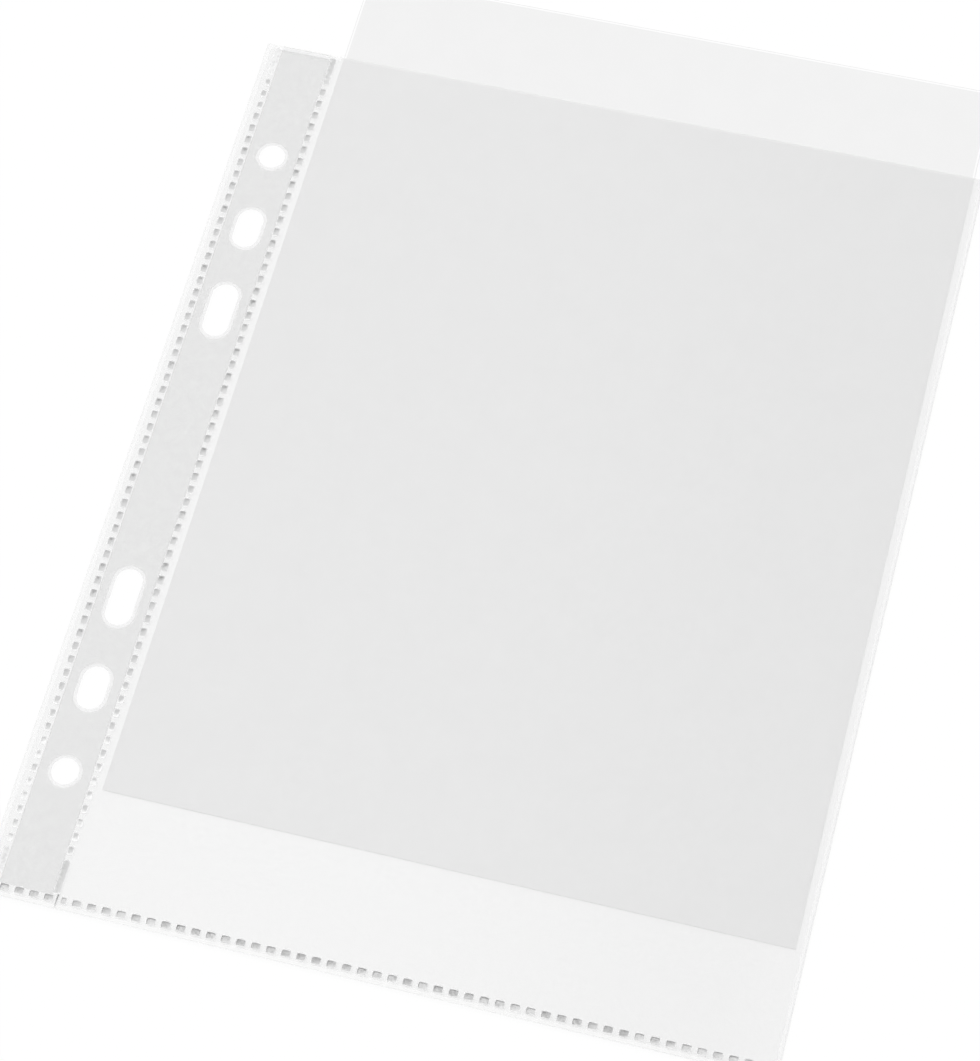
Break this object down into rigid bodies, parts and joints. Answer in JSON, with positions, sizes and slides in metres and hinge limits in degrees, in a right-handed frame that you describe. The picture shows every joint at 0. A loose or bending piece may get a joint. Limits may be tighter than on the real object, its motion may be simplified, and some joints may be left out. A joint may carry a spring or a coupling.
{
  "type": "sheet protector",
  "caption": "Clear film pocket with a reinforced, punched binding strip, welded edges and an open mouth, holding a loose A5 sheet that slides in and out.",
  "frame": {"origin": "middle of the row of ring holes, on the underside of the binding strip", "axes": "+X across the pocket from the binding strip to the fold, +Y along the strip to the open mouth, +Z out of the front film"},
  "size_m": [0.1687, 0.2373, 0.0004],
  "materials": {
    "film": "clear polypropylene film with a fine grain",
    "weld": "melted polypropylene, pressed by a hot bar",
    "tape": "clear polypropylene tape",
    "sheet": "plain white paper"
  },
  "bodies": {
    "binding_edge": {"strip_back_film": "film", "reinforcing_tape": "tape", "strip_front_film": "film", "outer_weld": "weld", "inner_weld": "weld", "strip_foot_weld": "weld"},
    "pocket_leaf": {"back_panel": "film", "front_panel": "film", "side_fold": "film", "leaf_foot_weld": "weld"},
    "insert": {"insert_sheet": "sheet"}
  },
  "joints": [
    {"name": "leaf_fold", "type": "hinge", "parent": "binding_edge", "child": "pocket_leaf", "pos_m": [0.0077, 0, 0.00048], "axis": [0, -1, 0], "range_deg": [0, 180]},
    {"name": "insert_slide", "type": "slide", "parent": "pocket_leaf", "child": "insert", "axis": [0, 1, 0], "range_m": [-0.0243, 0.19]}
  ]
}
